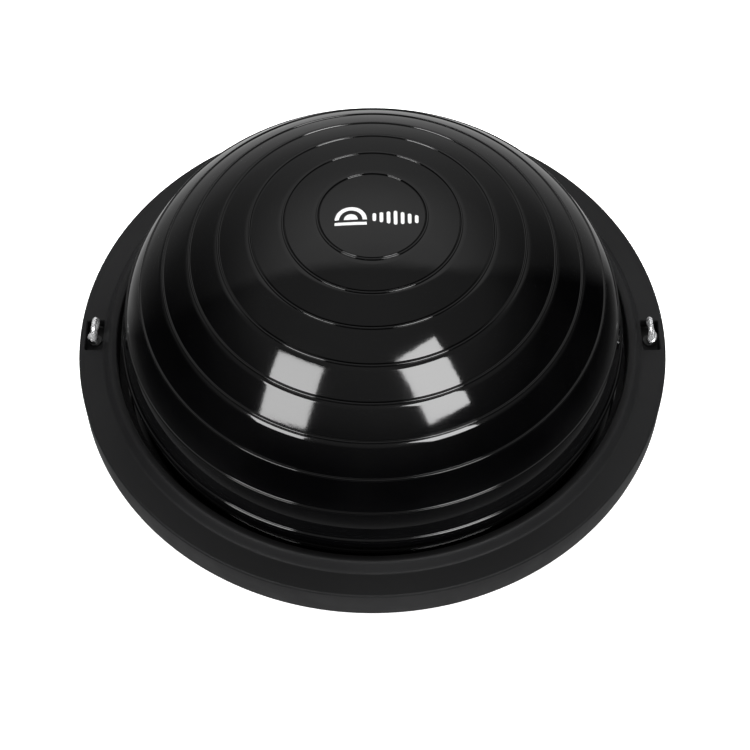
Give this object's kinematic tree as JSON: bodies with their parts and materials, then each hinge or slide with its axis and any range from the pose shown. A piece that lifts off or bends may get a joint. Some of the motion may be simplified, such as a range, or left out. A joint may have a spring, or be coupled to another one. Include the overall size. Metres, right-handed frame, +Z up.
{
  "type": "balance dome trainer",
  "caption": "Ribbed inflatable balance dome on a round moulded base with swivelling band eyes, for balance, core and physiotherapy exercise.",
  "frame": {"origin": "centre of the base on the floor, under the feet", "axes": "+Z up through the top of the dome; the two band eyes lie on the X axis; -Y is the front"},
  "size_m": [0.6, 0.6, 0.234],
  "materials": {
    "pvc_dome": "glossy black PVC skin with moulded ribs",
    "base_abs": "satin black moulded plastic",
    "valve_rubber": "soft black valve rubber",
    "foot_rubber": "matt black rubber",
    "eye_steel": "bright plated steel wire",
    "screw_steel": "zinc-plated steel",
    "print_white": "white screen-printed ink"
  },
  "bodies": {
    "base": {"dome_skin": "pvc_dome", "bladder_floor": "pvc_dome", "valve_body": "valve_rubber", "base_rim": "base_abs", "base_plate": "base_abs", "clamp_ring": "base_abs", "clamp_screws": "screw_steel", "plate_screws": "screw_steel", "front_grip_cup": "base_abs", "rear_grip_cup": "base_abs", "left_hook_cup": "base_abs", "right_hook_cup": "base_abs", "foot_1": "foot_rubber", "foot_2": "foot_rubber", "foot_3": "foot_rubber", "foot_4": "foot_rubber", "foot_5": "foot_rubber", "foot_6": "foot_rubber", "foot_7": "foot_rubber", "foot_8": "foot_rubber"},
    "left_eye": {"left_eye": "eye_steel", "left_eye_washer": "eye_steel", "left_eye_nut": "eye_steel"},
    "right_eye": {"right_eye": "eye_steel", "right_eye_washer": "eye_steel", "right_eye_nut": "eye_steel"},
    "valve_plug": {"valve_plug": "valve_rubber"}
  },
  "joints": [
    {"name": "left_eye_swivel", "type": "hinge", "parent": "base", "child": "left_eye", "pos_m": [-0.285, 0, 0.026], "axis": [0, 0, 1], "continuous": true},
    {"name": "right_eye_swivel", "type": "hinge", "parent": "base", "child": "right_eye", "pos_m": [0.285, 0, 0.026], "axis": [0, 0, 1], "continuous": true},
    {"name": "valve_plug_pull", "type": "slide", "parent": "base", "child": "valve_plug", "axis": [0, 0, -1], "range_m": [0, 0.012]}
  ]
}
